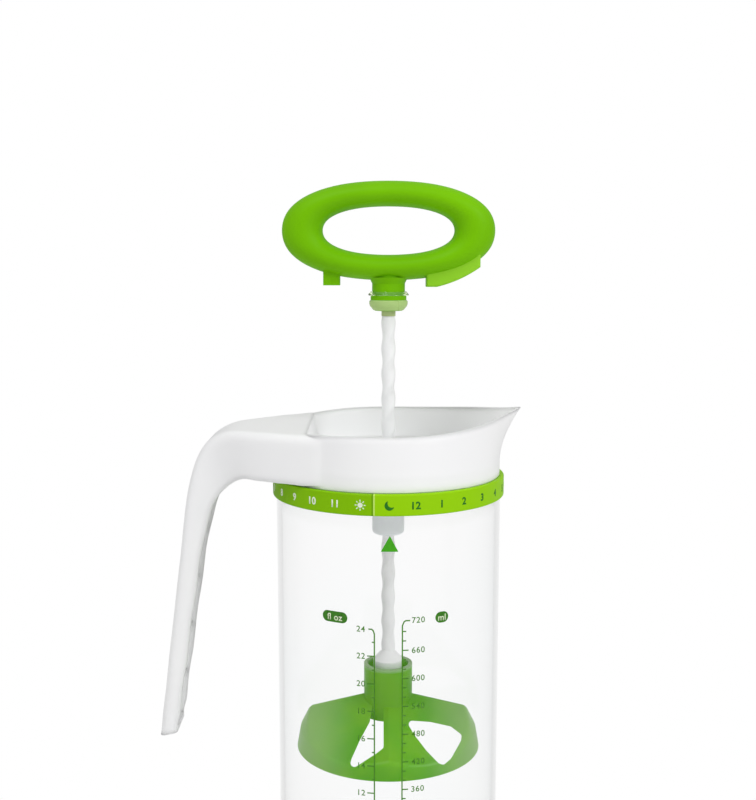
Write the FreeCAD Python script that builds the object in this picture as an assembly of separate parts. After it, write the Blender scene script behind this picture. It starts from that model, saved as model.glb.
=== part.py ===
"""Baby formula pitcher: clear jug, time dial, screw lid with spout and handle, and a spinning plunger mixer.

Millimetres. +Z is up, +X points to the spout, -X to the handle. The origin is the centre of the jug's base.
"""
import FreeCAD, Part
import math
import os

Vec = FreeCAD.Vector
UP = Vec(0, 0, 1)
ORIGIN = Vec(0, 0, 0)

# ---------------------------------------------------------------- clearances
running_gap = 0.2          # between pieces that turn or slide on each other
fit_gap = 0.05             # between pieces that are pressed together
seat_gap = 0.1             # under a piece that rests on another
stop_gap = 0.3             # left at the end of a stroke

# ---------------------------------------------------------------- modelling aids
cut_over = 1.0             # how far a cutting shape runs past what it cuts
same_place = 0.01          # lengths nearer than this count as equal

# ---------------------------------------------------------------- jug
jug_height = 172.9         # to the shoulder, where the dial ring rests
jug_radius = 44.3          # at the shoulder
jug_draft = 0.3            # how much less the radius is at the base
jug_wall = 2.0
jug_base_thickness = 3.0
jug_base_edge = 5.0        # rounding of the base's outer edge
shoulder_width = 3.4       # from the jug's wall in to the neck
shoulder_slope_height = 4.0
neck_height = 11.5
neck_wall = 2.0

# ---------------------------------------------------------------- lug thread
lug_count = 4
thread_lead = 24.0         # rise in one full turn
jug_lug_span = 62.0        # degrees
lid_lug_span = 20.0        # degrees
lid_lug_start = 2.0        # degrees past the jug lug's start when the lid is closed
lug_depth = 1.1
lug_height = 1.5
jug_lug_rise = 4.7         # from the shoulder to the middle of the jug lug's start
lug_gap = 0.15             # under the jug lug, to the lid's lug
lug_root = 0.6             # how far a lug is rooted in its wall

# ---------------------------------------------------------------- dial ring
dial_height = 8.0
dial_wall = 1.9
dial_lip_height = 1.3      # the lip rests on the shoulder, under the skirt
dial_edge = 0.6

# ---------------------------------------------------------------- gasket
gasket_overhang = 0.3      # past the neck's bore, inwards
gasket_side_gap = 0.5      # to the skirt
gasket_thickness = 1.5

# ---------------------------------------------------------------- lid: skirt, deck, bowl and spout
skirt_wall = 1.4
skirt_lift = 0.6           # above the dial ring's lip
collar_ledge = 0.4         # how far the collar stands out past the skirt
ledge_gap = 0.3            # above the dial ring
collar_wall = 1.7
deck_thickness = 2.0
bowl_depth = 13.4
spout_reach = 8.2          # how far the tip stands out past the collar
spout_tip_rise = 5.5       # how much higher the tip is than the rim
spout_rise_power = 2.4
spout_start_drop = 1.0     # the wall starts to flare this far below the deck's top
spout_flare_power = 1.6
spout_width = 0.19         # radians, how fast the flare dies away round the collar
spout_roundness = 0.06     # radians, the rounding of the tip in plan
spout_points = 48          # round the collar's outline
spout_crowding = 0.62      # how much they crowd towards the tip, below 1
spout_levels = 6           # outlines up the flare
rim_points = 8             # along the rim's rise
shelf_width = 13.0         # the raised shelf beside the handle
shelf_slope = 5.5          # length of its slope in plan
shelf_drop = 0.9           # how far it lies below the rim
shelf_fall = 0.2           # how much lower it is at the handle
shelf_skin = 2.0
# Up the shelf's slope from its foot: share of the slope's length and of the bowl's depth
shelf_curve = [(0.0, 0.0), (0.47, 0.105), (0.855, 0.39), (1.0, 0.85), (1.03, 1.2)]
pour_length = 16.0         # pouring hole, along X
pour_margin = 2.6          # from the hole to the gasket
pour_half_angle = 24.0     # degrees
pour_corner = 2.5
vent_radius = 2.6
vent_distance = 24.0
vent_angle = 125.0         # degrees from the spout

# ---------------------------------------------------------------- lid: hub and bush
hub_rise = 5.4             # above the deck
hub_drop = 20.0            # below the deck
hub_wall = 1.6
seal_bore_depth = 11.5
bush_radius = 6.4
bush_reach = 9.9           # below the hub
bush_flange_height = 1.5
bush_edge = 1.6

# ---------------------------------------------------------------- handle
bridge_height = 19.6       # from the rim down to the underside beside the collar
handle_skin = 2.2
handle_root = 1.0          # from the collar's wall to the end of the handle's hollow
handle_outer_round = 3.4
handle_inner_round = 1.0
handle_start = 61.5        # degrees from the handle's side, where its sides leave the collar
handle_start_drop = 0.4
handle_tuck = 0.5          # how far inside the collar's wall the sides start
# Stations along the handle. Reach is measured out from the collar's wall and drop down from the rim, first
# for the outer side and then for the inner side. Over the bridge the sides follow the tangent from where they
# leave the collar, and bulge is how far they stand out past it. Along the grip half the width is given.
bridge_stations = [
    (-18.0, 0.6, -18.0, 0.2),
    (-13.0, 0.8, -13.0, 0.76),
    (-8.5, 0.9, -8.5, 1.1),
    (-4.0, 1.0, -4.0, 1.25),
    (0.0, 1.1, 0.0, 1.3),
    (4.0, 1.3, 4.0, 1.2),
    (7.8, 1.45, 7.4, 0.9),
    (11.6, 1.6, 10.6, 0.5),
]
grip_stations = [
    (19.3, 2.6, 15.3, 21.6, 15.4),
    (26.8, 7.2, 19.5, 25.0, 12.0),
    (32.1, 17.0, 23.9, 30.4, 10.8),
    (35.2, 29.8, 26.6, 38.2, 10.3),
    (37.2, 44.9, 29.2, 48.4, 10.1),
    (38.8, 57.5, 31.1, 60.2, 9.95),
    (40.5, 70.5, 33.0, 72.5, 9.8),
    (42.3, 84.3, 35.0, 85.8, 9.65),
    (44.1, 98.4, 36.9, 99.4, 9.5),
    (45.9, 112.4, 38.8, 112.4, 9.35),
    (46.8, 119.5, 39.7, 118.7, 9.28),
    (47.7, 126.6, 40.6, 124.9, 9.2),
]
rib_count = 4
rib_spacing = 20.0
rib_first_drop = 45.4      # from the rim to the highest rib
rib_thickness = 1.4
rib_recess = 1.2           # how far a rib's edge lies inside the channel

# ---------------------------------------------------------------- plunger stroke
stroke_down = 57.5         # from the raised position, until the lip seal meets the hub
stroke_up = 48.0           # until the shaft's foot meets the bush

# ---------------------------------------------------------------- seals
plug_seal_radius = 7.5
plug_seal_height = 4.0
plug_seal_lead_in = 1.6
lip_seal_overhang = 0.5    # past the plug seal's radius
lip_seal_thickness = 1.2
lip_seal_droop = 0.3

# ---------------------------------------------------------------- grip and its neck
grip_length = 82.8
grip_height = 38.3
grip_side_bar = 16.0       # bar width at the ends of the oval
grip_top_bar = 9.95        # bar width at the top and bottom
grip_depth = 16.0
grip_power = 2.25          # 2 is an ellipse, more is squarer
grip_turn_poles = 24
grip_bar_poles = 12
neck_length = 5.55         # from the flange up to the oval
neck_tube_radius = 6.4
neck_flare = 1.2
flange_inset = 0.5         # less than the plug seal's radius
flange_height = 2.0
spigot_radius = 5.4
spigot_height = 4.2
tab_distance = 18.9        # from the axis to the locking tab
tab_length = 6.4
tab_drop = 1.85
tab_root_share = 0.75      # of the bar's width, how far the tab is rooted in it
tab_width = 8.0
stopper_distance = 14.6    # from the axis to the stopper
stopper_inset = 6.0        # from the oval's end
stopper_heel = 4.0         # length of its flat bottom
stopper_drop = 2.45
stopper_rise = 7.6         # from its flat bottom up to its outer end
stopper_end_height = 6.4
stopper_width = 11.0
stopper_swell = 1.0        # how far the sloping bottom bows out
stopper_edge = 0.8

# ---------------------------------------------------------------- swivel pin and its retainer
pin_radius = 2.75
pin_show = 2.1             # length that shows under the spigot
pin_head_height = 2.0
pin_head_margin = 0.5      # less than the retainer's radius
retainer_wall = 0.65       # wall of the spigot round the retainer
retainer_height = 9.6
retainer_inset = 1.5       # from the spigot's mouth up to the retainer
pin_spigot_radius = 1.15
pin_spigot_length = 4.6
pin_knob_radius = 1.5
pin_knob_height = 2.2
socket_gap = 0.08

# ---------------------------------------------------------------- shaft
shaft_major = 2.8          # half axes of the oval section
shaft_minor = 2.3
shaft_lead = 20.0          # length in which the section turns once
shaft_plug_radius = 6.0
shaft_plug_length = 20.8
shaft_foot_height = 3.3    # cone between the plug and the twisted length
shaft_plug_edge = 0.8

# ---------------------------------------------------------------- mixer
mixer_neck_gap = 2.0       # all round, as the mixer passes the jug's neck
mixer_top_drop = 1.7       # the hub's top, below the shaft plug's top
mixer_hub_wall = 3.75
mixer_mouth_wall = 1.6
mixer_mouth_depth = 6.0
mixer_skin = 1.5
mixer_ridge_drop = 12.9    # where the side ridges leave the hub, below its top
mixer_ridge_fall = 0.236   # drop of the ridges for each millimetre outwards
mixer_panel_fall = 0.45    # drop of the panels for each millimetre away from the ridges
mixer_fold_round = 2.0
mixer_brow_round = 2.5     # where the panels turn down into the cheeks
# Down the cheeks: drop from the hub's top, and how much less than the rim's radius
mixer_shoulder = (18.0, 5.6)
mixer_cheek = (26.5, 1.3)
mixer_height = 33.85
mixer_hub_length = 21.2
# Windows as cut along a slanted line: shares of the rim's radius across, and of the height down
window_tilt = 22.0
small_window = [(-0.162, 0.43), (-0.051, 0.43), (-0.053, 0.975), (-0.134, 1.039), (-0.344, 1.179),
                (-0.408, 1.176), (-0.387, 1.094), (-0.306, 0.901), (-0.200, 0.691)]
large_window = [(0.186, 0.672), (0.456, 0.691), (0.676, 0.743), (0.791, 0.838), (0.775, 0.904),
                (0.654, 1.098), (0.576, 1.162), (0.521, 1.143), (0.398, 1.009), (0.275, 0.835)]
window_round = 1.4

# ---------------------------------------------------------------- places worked out from the sizes above
jug_shoulder_z = jug_height
jug_rim_z = jug_height + neck_height
jug_base_radius = jug_radius - jug_draft
neck_radius = jug_radius - shoulder_width
neck_bore_radius = neck_radius - neck_wall
lug_crest_radius = neck_radius + lug_depth
jug_lug_z = jug_shoulder_z + jug_lug_rise
skirt_inner_radius = lug_crest_radius + running_gap
skirt_outer_radius = skirt_inner_radius + skirt_wall

dial_bottom_z = jug_shoulder_z + seat_gap
dial_top_z = dial_bottom_z + dial_height
dial_bore_radius = skirt_outer_radius + running_gap
dial_radius = dial_bore_radius + dial_wall
dial_lip_radius = lug_crest_radius + 3 * running_gap
skirt_bottom_z = dial_bottom_z + dial_lip_height + skirt_lift

gasket_bottom_z = jug_rim_z + seat_gap
gasket_inner_radius = neck_bore_radius - gasket_overhang
gasket_outer_radius = skirt_inner_radius - gasket_side_gap
deck_bottom_z = gasket_bottom_z + gasket_thickness
deck_top_z = deck_bottom_z + deck_thickness

collar_radius = skirt_outer_radius + collar_ledge
collar_bottom_z = dial_top_z + ledge_gap
rim_z = deck_top_z + bowl_depth
spout_start_z = deck_top_z - spout_start_drop
spout_tip_z = rim_z + spout_tip_rise
above_everything_z = spout_tip_z + 3 * cut_over
shelf_x = shelf_width - collar_radius
shelf_foot_x = shelf_x + shelf_slope
pour_outer_radius = gasket_inner_radius - pour_margin
pour_inner_radius = pour_outer_radius - pour_length

hub_top_z = deck_top_z + hub_rise
hub_bottom_z = deck_bottom_z - hub_drop
plunger_bore_radius = plug_seal_radius + running_gap + fit_gap
hub_radius = plunger_bore_radius + hub_wall
bush_seat_z = hub_top_z - seal_bore_depth
bush_bottom_z = hub_bottom_z - bush_reach

flange_top_z = hub_top_z + stroke_down + stop_gap
flange_z = flange_top_z - flange_height
flange_radius = plug_seal_radius - flange_inset
lip_seal_radius = plug_seal_radius + lip_seal_overhang
plug_seal_bottom_z = flange_z - plug_seal_height
spigot_bottom_z = flange_z - spigot_height
grip_bottom_z = flange_top_z + neck_length
grip_z = grip_bottom_z + grip_height / 2
grip_hole_length = grip_length - 2 * grip_side_bar
grip_hole_height = grip_height - 2 * grip_top_bar

retainer_radius = spigot_radius - retainer_wall - fit_gap
retainer_bottom_z = spigot_bottom_z + retainer_inset
pin_head_z = retainer_bottom_z + retainer_height + seat_gap
pin_head_radius = retainer_radius - pin_head_margin
pin_bottom_z = spigot_bottom_z - pin_show
pin_spigot_end_z = pin_bottom_z - pin_spigot_length
neck_socket_top_z = pin_head_z + pin_head_height + running_gap

shaft_top_z = pin_bottom_z - seat_gap
shaft_helix_bottom_z = bush_bottom_z - stroke_up - 2 * stop_gap
shaft_plug_top_z = shaft_helix_bottom_z - shaft_foot_height
shaft_plug_bottom_z = shaft_plug_top_z - shaft_plug_length

mixer_top_z = shaft_plug_top_z - mixer_top_drop
mixer_hub_radius = shaft_plug_radius + mixer_hub_wall
mixer_mouth_radius = mixer_hub_radius - mixer_mouth_wall
mixer_rim_radius = neck_bore_radius - mixer_neck_gap
mixer_ridge_z = mixer_top_z - mixer_ridge_drop
mixer_apex_z = mixer_ridge_z + mixer_ridge_fall * mixer_hub_radius
mixer_rim_z = mixer_top_z - mixer_height
mixer_hub_bottom_z = mixer_top_z - mixer_hub_length


def polygon_face(points):
    """A flat face from its corners."""
    return Part.Face(Part.makePolygon(list(points) + [points[0]]))


def revolved(profile):
    """A solid of revolution about Z from (radius, z) corners."""
    face = polygon_face([Vec(r, 0, z) for r, z in profile])
    return face.revolve(ORIGIN, UP, 360)


def cylinder(radius, bottom, top, x=0.0, y=0.0):
    """An upright cylinder between two heights."""
    return Part.makeCylinder(radius, top - bottom, Vec(x, y, bottom))


def tube(outer, inner, bottom, top):
    """An upright tube between two heights."""
    return cylinder(outer, bottom, top).cut(cylinder(inner, bottom - cut_over, top + cut_over))


def side_prism(edges, half_width):
    """A solid from a closed outline in the XZ plane, as wide as asked each side of it."""
    face = Part.Face(Part.Wire(edges))
    face.translate(Vec(0, -half_width, 0))
    return face.extrude(Vec(0, 2 * half_width, 0))


def smooth_edge(points):
    """One smooth edge through (x, z) points in the XZ plane."""
    curve = Part.BSplineCurve()
    curve.interpolate([Vec(x, 0, z) for x, z in points])
    return curve.toShape()


def line(x0, z0, x1, z1):
    """A straight edge in the XZ plane."""
    return Part.LineSegment(Vec(x0, 0, z0), Vec(x1, 0, z1)).toShape()


def rounded(shape, radius, wanted):
    """The shape with the edges that wanted(edge) picks rounded."""
    edges = [edge for edge in shape.Edges if wanted(edge)]
    return shape.makeFillet(radius, edges)


def at_height(z):
    """A test for edges that lie flat at one height."""
    return lambda edge: max(abs(edge.BoundBox.ZMin - z), abs(edge.BoundBox.ZMax - z)) < same_place


def as_tall_as(height):
    """A test for edges that are that tall."""
    return lambda edge: abs(edge.BoundBox.ZLength - height) < same_place


def as_long_as(length):
    """A test for edges of one length."""
    return lambda edge: abs(edge.Length - length) < same_place


def helical_ridge(start_angle, span, radius_in, radius_out, middle_z, height):
    """Part of a thread: a rectangular ridge that rises from start_angle over span degrees."""
    rise = thread_lead * span / 360.0
    helix = Part.makeHelix(thread_lead, rise, radius_in)
    half = height / 2
    corners = [(radius_in, -half), (radius_out, -half), (radius_out, half), (radius_in, half)]
    section = Part.makePolygon([Vec(x, 0, z) for x, z in corners + corners[:1]])
    ridge = Part.Wire(helix.Edges).makePipeShell([section], True, True)
    ridge.rotate(ORIGIN, UP, start_angle)
    ridge.translate(Vec(0, 0, middle_z))
    return ridge


def lug_angles():
    """Where each pair of lugs starts, in degrees."""
    return [index * 360.0 / lug_count for index in range(lug_count)]


# ---------------------------------------------------------------- jug and what turns on it
def make_jug():
    """Clear jug: slightly tapered wall, flat base, sloping shoulder and a neck with four lug threads."""
    outer = revolved([(0, 0), (jug_base_radius, 0), (jug_radius, jug_shoulder_z), (0, jug_shoulder_z)])
    outer = rounded(outer, jug_base_edge, at_height(0))
    slope_start = jug_shoulder_z - jug_wall - shoulder_slope_height
    slope_end = jug_shoulder_z - jug_wall
    inner = revolved([
        (0, jug_base_thickness),
        (jug_base_radius - jug_wall, jug_base_thickness),
        (jug_radius - jug_wall, slope_start),
        (neck_bore_radius, slope_end),
        (0, slope_end),
    ])
    inner = rounded(inner, jug_base_edge - jug_wall, at_height(jug_base_thickness))
    neck = cylinder(neck_radius, jug_shoulder_z - jug_wall, jug_rim_z)
    mouth = cylinder(neck_bore_radius, slope_end - cut_over, jug_rim_z + cut_over)
    jug = outer.fuse(neck).cut(inner).cut(mouth)
    for angle in lug_angles():
        jug = jug.fuse(helical_ridge(angle, jug_lug_span, neck_radius - lug_root, lug_crest_radius, jug_lug_z,
                                     lug_height))
    return jug


def make_dial_ring():
    """Time dial: a band round the lid's skirt with a lip that rests on the jug's shoulder."""
    band = tube(dial_radius, dial_bore_radius, dial_bottom_z, dial_top_z)
    lip = tube(dial_radius - dial_edge, dial_lip_radius, dial_bottom_z, dial_bottom_z + dial_lip_height)

    def outer_rim(edge):
        return edge.Curve.TypeId == "Part::GeomCircle" and abs(edge.Curve.Radius - dial_radius) < same_place

    return rounded(band.fuse(lip).removeSplitter(), dial_edge, outer_rim)


def make_gasket():
    """Flat silicone ring between the jug's rim and the deck."""
    return tube(gasket_outer_radius, gasket_inner_radius, gasket_bottom_z, deck_bottom_z)


# ---------------------------------------------------------------- lid
def smooth_loft(wires):
    """A solid through closed outlines, smooth but without overshoot."""
    return Part.makeLoft(wires, True, False, False, 3)


def flare(z):
    """How far the spout stands out at a height."""
    share = max(0.0, z - spout_start_z) / (spout_tip_z - spout_start_z)
    return spout_reach * share ** spout_flare_power


def spout_section(radius, z):
    """Closed outline of the collar at a height: a circle drawn out to the spout."""
    points = []
    for index in range(spout_points):
        turn = 2 * math.pi * index / spout_points
        angle = turn - spout_crowding * math.sin(turn)
        off_tip = min(angle, 2 * math.pi - angle)
        fade = math.exp(-(math.hypot(off_tip, spout_roundness) - spout_roundness) / spout_width)
        reach = radius + flare(z) * fade
        points.append(Vec(reach * math.cos(angle), reach * math.sin(angle), z))
    curve = Part.BSplineCurve()
    parameters = [index / spout_points for index in range(spout_points + 1)]
    curve.interpolate(Points=points, PeriodicFlag=True, Parameters=parameters)
    return Part.Wire([curve.toShape()])


def spout_loft(radius, bottom):
    """The collar's form from one height up past the rim."""
    step = (above_everything_z - spout_start_z) / spout_levels
    levels = [spout_start_z + step * index for index in range(spout_levels + 1)]
    heights = [bottom] + [z for z in levels if z > bottom + cut_over]
    return smooth_loft([spout_section(radius, z) for z in heights])


def rim_height(x):
    """Height of the rim along X: level, rising to the spout's tip."""
    reach = collar_radius + spout_reach
    return rim_z + spout_tip_rise * (max(0.0, x) / reach) ** spout_rise_power


def above_rim():
    """Everything above the rim and the shelf, to be cut away."""
    shelf_z = rim_z - shelf_drop
    step = (collar_radius + 2 * spout_reach) / rim_points
    rise = [(step * index, rim_height(step * index)) for index in range(rim_points + 1)]
    left = [(-collar_radius - shelf_slope, shelf_z - shelf_fall), (shelf_x - collar_wall, shelf_z),
            (shelf_x / 2, rim_z - shelf_fall / 2)]
    top = above_everything_z + bowl_depth
    first, last = left[0], rise[-1]
    edges = [smooth_edge(left + rise), line(last[0], last[1], last[0], top),
             line(last[0], top, first[0], top), line(first[0], top, first[0], first[1])]
    return side_prism(edges, 2 * collar_radius)


def shelf_block(offset, floor):
    """The raised shelf beside the handle: the space on the handle side of its slope."""
    far = -2 * collar_radius
    slope = [(shelf_foot_x - shelf_slope * across - offset, deck_top_z + bowl_depth * up - offset)
             for across, up in shelf_curve]
    foot, top = slope[0], slope[-1]
    edges = [smooth_edge(slope), line(top[0], top[1], far, top[1]), line(far, top[1], far, floor),
             line(far, floor, foot[0], floor), line(foot[0], floor, foot[0], foot[1])]
    return side_prism(edges, 2 * collar_radius)


def handle_stations():
    """The handle's stations as (outer point, inner point, half width)."""
    underside = rim_z - bridge_height
    start = math.radians(handle_start)
    start_reach = collar_radius * (math.cos(start) - 1)
    stations = []
    first = (start_reach, handle_start_drop, start_reach, -handle_tuck)
    for reach, drop, inner_reach, bulge in [first] + bridge_stations:
        half_width = collar_radius * math.sin(start) - (reach - start_reach) / math.tan(start) + bulge
        stations.append((Vec(-collar_radius - reach, 0, rim_z - drop),
                         Vec(-collar_radius - inner_reach, 0, underside), half_width))
    for reach, drop, inner_reach, inner_drop, half_width in grip_stations:
        stations.append((Vec(-collar_radius - reach, 0, rim_z - drop),
                         Vec(-collar_radius - inner_reach, 0, rim_z - inner_drop), half_width))
    return stations


def handle_wire(station, skin, open_side):
    """Rounded outline of the handle at one station, in the plane of its outer and inner points."""
    outer, inner, half_width = station
    inward = (inner - outer).normalize()
    outer = outer + inward * skin
    inner = inner + inward * open_side
    half_width = half_width - skin
    depth = (inner - outer).Length
    corners = [(1, 0, max(handle_outer_round - skin, handle_inner_round / 2)), (1, depth, handle_inner_round)]
    corners += [(-1, along, radius) for across, along, radius in reversed(corners)]

    def place(across, along):
        return outer + Vec(0, across, 0) + inward * along

    edges = []
    ends = []
    for side, along, radius in corners:
        bend = radius * (1 - math.sqrt(0.5))
        down = 1 if along == 0 else -1
        arc = [place(side * (half_width - radius), along),
               place(side * (half_width - bend), along + down * bend),
               place(side * half_width, along + down * radius)]
        if side * down < 0:
            arc.reverse()
        edges.append(Part.Arc(*arc).toShape())
        ends.append((arc[0], arc[2]))
    for index, (start, end) in enumerate(ends):
        edges.insert(2 * index + 1, Part.LineSegment(end, ends[(index + 1) % len(ends)][0]).toShape())
    return Part.Wire(edges)


def make_handle():
    """Handle: a loft from the collar over a bend to a free end, and the core that is cut out of it.

    The core is open on the inner side, closed at the free end and crossed by ribs.
    """
    stations = handle_stations()
    outer = smooth_loft([handle_wire(station, 0.0, 0.0) for station in stations])
    core = smooth_loft([handle_wire(station, handle_skin, 2 * handle_skin) for station in stations[1:]])
    tip_outer, tip_inner, _ = stations[-1]
    reach = collar_radius
    corner = Vec(tip_outer.x - reach / 2, -reach / 2, tip_outer.z - cut_over)
    end_wall = Part.makeBox(reach, reach, tip_inner.z + handle_skin - corner.z, corner)
    root = cylinder(collar_radius + handle_root, collar_bottom_z - reach / 2, above_everything_z)
    core = core.cut(end_wall).cut(root)
    grip_part = stations[len(bridge_stations):]
    channel = smooth_loft([handle_wire(station, handle_skin / 2, -rib_recess) for station in grip_part])
    for index in range(rib_count):
        corner.z = rim_z - rib_first_drop - index * rib_spacing
        core = core.cut(channel.common(Part.makeBox(reach, reach, rib_thickness, corner)))
    return outer, core


def make_collar():
    """Lid moulding: bowl, spout, deck with hub and pouring hole, skirt with lugs, and the handle."""
    handle, handle_core = make_handle()
    body = spout_loft(collar_radius, collar_bottom_z)
    body = body.cut(above_rim())
    body = body.fuse(handle.cut(above_rim()))

    bowl = spout_loft(collar_radius - collar_wall, deck_top_z)
    bowl = bowl.cut(shelf_block(0.0, deck_top_z - cut_over))
    body = body.cut(bowl)
    body = body.cut(cylinder(skirt_inner_radius, collar_bottom_z - cut_over, deck_bottom_z))
    body = body.cut(handle_core)

    pocket_radius = gasket_inner_radius - shelf_skin
    pocket = cylinder(pocket_radius, deck_bottom_z - cut_over, rim_z - shelf_drop - shelf_skin)
    pocket = pocket.common(shelf_block(shelf_skin, deck_bottom_z - 2 * cut_over))
    body = body.cut(pocket)

    skirt = tube(skirt_outer_radius, skirt_inner_radius, skirt_bottom_z, deck_bottom_z + deck_thickness / 2)
    body = body.fuse(skirt)
    lug_z = jug_lug_z + thread_lead * lid_lug_start / 360.0 - lug_height - lug_gap
    for angle in lug_angles():
        ridge = helical_ridge(angle + lid_lug_start, lid_lug_span, neck_radius + running_gap,
                              skirt_inner_radius + lug_root, lug_z, lug_height)
        body = body.fuse(ridge)

    body = body.fuse(cylinder(hub_radius, hub_bottom_z, hub_top_z))
    body = body.cut(cylinder(plunger_bore_radius, bush_seat_z, hub_top_z + cut_over))
    body = body.cut(cylinder(bush_radius + fit_gap, hub_bottom_z - cut_over, bush_seat_z + cut_over))
    body = body.cut(pouring_hole())
    vent = math.radians(vent_angle)
    return body.cut(cylinder(vent_radius, deck_bottom_z - cut_over, deck_top_z + cut_over,
                             vent_distance * math.cos(vent), vent_distance * math.sin(vent)))


def pouring_hole():
    """Ring-shaped hole in the deck in front of the spout, with rounded corners."""
    bottom, top = deck_bottom_z - cut_over, deck_top_z + cut_over
    ring = tube(pour_outer_radius, pour_inner_radius, bottom, top)
    reach = 2 * pour_outer_radius
    half = math.radians(pour_half_angle)
    far_corners = [Vec(reach * math.cos(half), side * reach * math.sin(half), bottom) for side in (-1, 1)]
    wedge = polygon_face([Vec(0, 0, bottom)] + far_corners)
    hole = ring.common(wedge.extrude(Vec(0, 0, top - bottom)))
    return rounded(hole, pour_corner, as_tall_as(top - bottom))


def twisted_rod(grow, bottom, top):
    """The shaft's oval section, turning once in a lead. Grow adds clearance all round."""
    path = Part.Wire([Part.LineSegment(Vec(0, 0, bottom), Vec(0, 0, top)).toShape()])
    guide = Part.makeHelix(shaft_lead, top - bottom, shaft_major * 2)
    guide.translate(Vec(0, 0, bottom))
    section = Part.Ellipse(Vec(0, 0, bottom), shaft_major + grow, shaft_minor + grow)
    turn = 360.0 * bottom / shaft_lead
    guide.rotate(Vec(0, 0, bottom), UP, turn)
    outline = Part.Wire([section.toShape()])
    outline.rotate(Vec(0, 0, bottom), UP, turn)
    shell = Part.BRepOffsetAPI.MakePipeShell(path)
    shell.setAuxiliarySpine(Part.Wire(guide.Edges), True, 0)
    shell.add(outline)
    shell.build()
    shell.makeSolid()
    return shell.shape()


def make_bush():
    """Nut pressed in the hub: its hole has the shaft's twist, so a sliding shaft has to turn."""
    body = cylinder(bush_radius, bush_bottom_z, bush_seat_z)
    body = rounded(body, bush_edge, at_height(bush_bottom_z))
    top = bush_seat_z + bush_flange_height
    body = body.fuse(cylinder(plunger_bore_radius - running_gap, bush_seat_z, top))
    return body.cut(twisted_rod(running_gap, bush_bottom_z - cut_over, top + cut_over)).removeSplitter()


# ---------------------------------------------------------------- plunger
def superellipse(length, height, turn):
    """A point (x, z) on the grip's oval at a turn in radians."""
    power = 2.0 / grip_power
    c, s = math.cos(turn), math.sin(turn)
    x = math.copysign(abs(c) ** power, c) * length / 2
    z = math.copysign(abs(s) ** power, s) * height / 2
    return x, z


def spread(count):
    """How far the poles of a smooth closed curve of that many stand out past the curve itself."""
    return 3.0 / (2.0 + math.cos(2 * math.pi / count))


def grip_pole(turn, angle):
    """A pole of the grip's surface: turn goes round the oval, angle round the bar's oval section."""
    outward = spread(grip_turn_poles)
    ox, oz = superellipse(grip_length, grip_height, turn)
    ix, iz = superellipse(grip_hole_length, grip_hole_height, turn)
    middle = Vec((ox + ix) / 2 * outward, 0, grip_z + (oz + iz) / 2 * outward)
    across = Vec(ox - ix, 0, oz - iz)
    half = across.Length / 2 * spread(grip_bar_poles)
    depth = grip_depth / 2 * spread(grip_bar_poles)
    return middle + across.normalize() * (math.cos(angle) * half) + Vec(0, math.sin(angle) * depth, 0)


def make_grip_ring():
    """The oval ring: one smooth surface, closed both ways."""
    turns = [2 * math.pi * k / grip_turn_poles for k in range(grip_turn_poles)]
    angles = [2 * math.pi * k / grip_bar_poles for k in range(grip_bar_poles)]
    poles = [[grip_pole(turn, angle) for angle in angles] for turn in turns]
    knots = [[k / count for k in range(count + 1)] for count in (grip_turn_poles, grip_bar_poles)]
    surface = Part.BSplineSurface()
    surface.buildFromPolesMultsKnots(poles, [1] * len(knots[0]), [1] * len(knots[1]), knots[0], knots[1],
                                     True, True, 3, 3)
    return Part.Solid(Part.Shell([surface.toShape()]))


def make_grip():
    """Grip: oval ring, locking tab, and a neck with a flange, cored for the swivel pin."""
    ring = make_grip_ring()
    bar_middle_z = grip_z - (grip_height + grip_hole_height) / 4
    neck = cylinder(neck_tube_radius, flange_top_z, bar_middle_z)
    flare_cone = revolved([(0, grip_bottom_z - neck_flare), (neck_tube_radius, grip_bottom_z - neck_flare),
                           (neck_tube_radius + neck_flare, grip_bottom_z + neck_flare),
                           (0, grip_bottom_z + neck_flare)])
    flange = cylinder(flange_radius, flange_z, flange_top_z)
    spigot = cylinder(spigot_radius, spigot_bottom_z, flange_z)
    tab_height = tab_drop + grip_top_bar * tab_root_share
    tab = Part.makeBox(tab_length, tab_width, tab_height,
                       Vec(-tab_distance - tab_length, -tab_width / 2, grip_bottom_z - tab_drop))
    grip = ring.fuse([neck, flare_cone, flange, spigot, tab])
    grip = grip.cut(cylinder(retainer_radius + fit_gap, spigot_bottom_z - cut_over, neck_socket_top_z))
    return grip.removeSplitter()


def make_stopper(grip):
    """Stopper: a pad under the spout end of the grip that hangs down inside the spout."""
    bottom = grip_bottom_z - stopper_drop
    heel_x = stopper_distance + stopper_heel
    end_x = grip_length / 2 - stopper_inset
    end_z = bottom + stopper_rise
    inner_top = grip_bottom_z + grip_top_bar / 2
    middle = Vec((heel_x + end_x) / 2, 0, (bottom + end_z) / 2 - stopper_swell)
    edges = [
        line(stopper_distance, bottom, heel_x, bottom),
        Part.Arc(Vec(heel_x, 0, bottom), middle, Vec(end_x, 0, end_z)).toShape(),
        line(end_x, end_z, end_x, end_z + stopper_end_height),
        line(end_x, end_z + stopper_end_height, stopper_distance, inner_top),
        line(stopper_distance, inner_top, stopper_distance, bottom),
    ]
    pad = side_prism(edges, stopper_width / 2)
    pad = rounded(pad, stopper_edge, lambda edge: edge.BoundBox.YLength < same_place)
    return pad.cut(grip)


def make_lip_seal():
    """Thin silicone lip above the flange."""
    inner = neck_tube_radius + fit_gap
    bottom = flange_top_z + fit_gap
    top = flange_top_z + lip_seal_thickness
    tip_z = flange_top_z - lip_seal_droop
    lip = lip_seal_thickness / 4
    return revolved([(inner, bottom), (flange_radius + fit_gap, bottom), (lip_seal_radius - lip, tip_z),
                     (lip_seal_radius, tip_z + lip), (flange_radius + fit_gap, top), (inner, top)])


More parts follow.
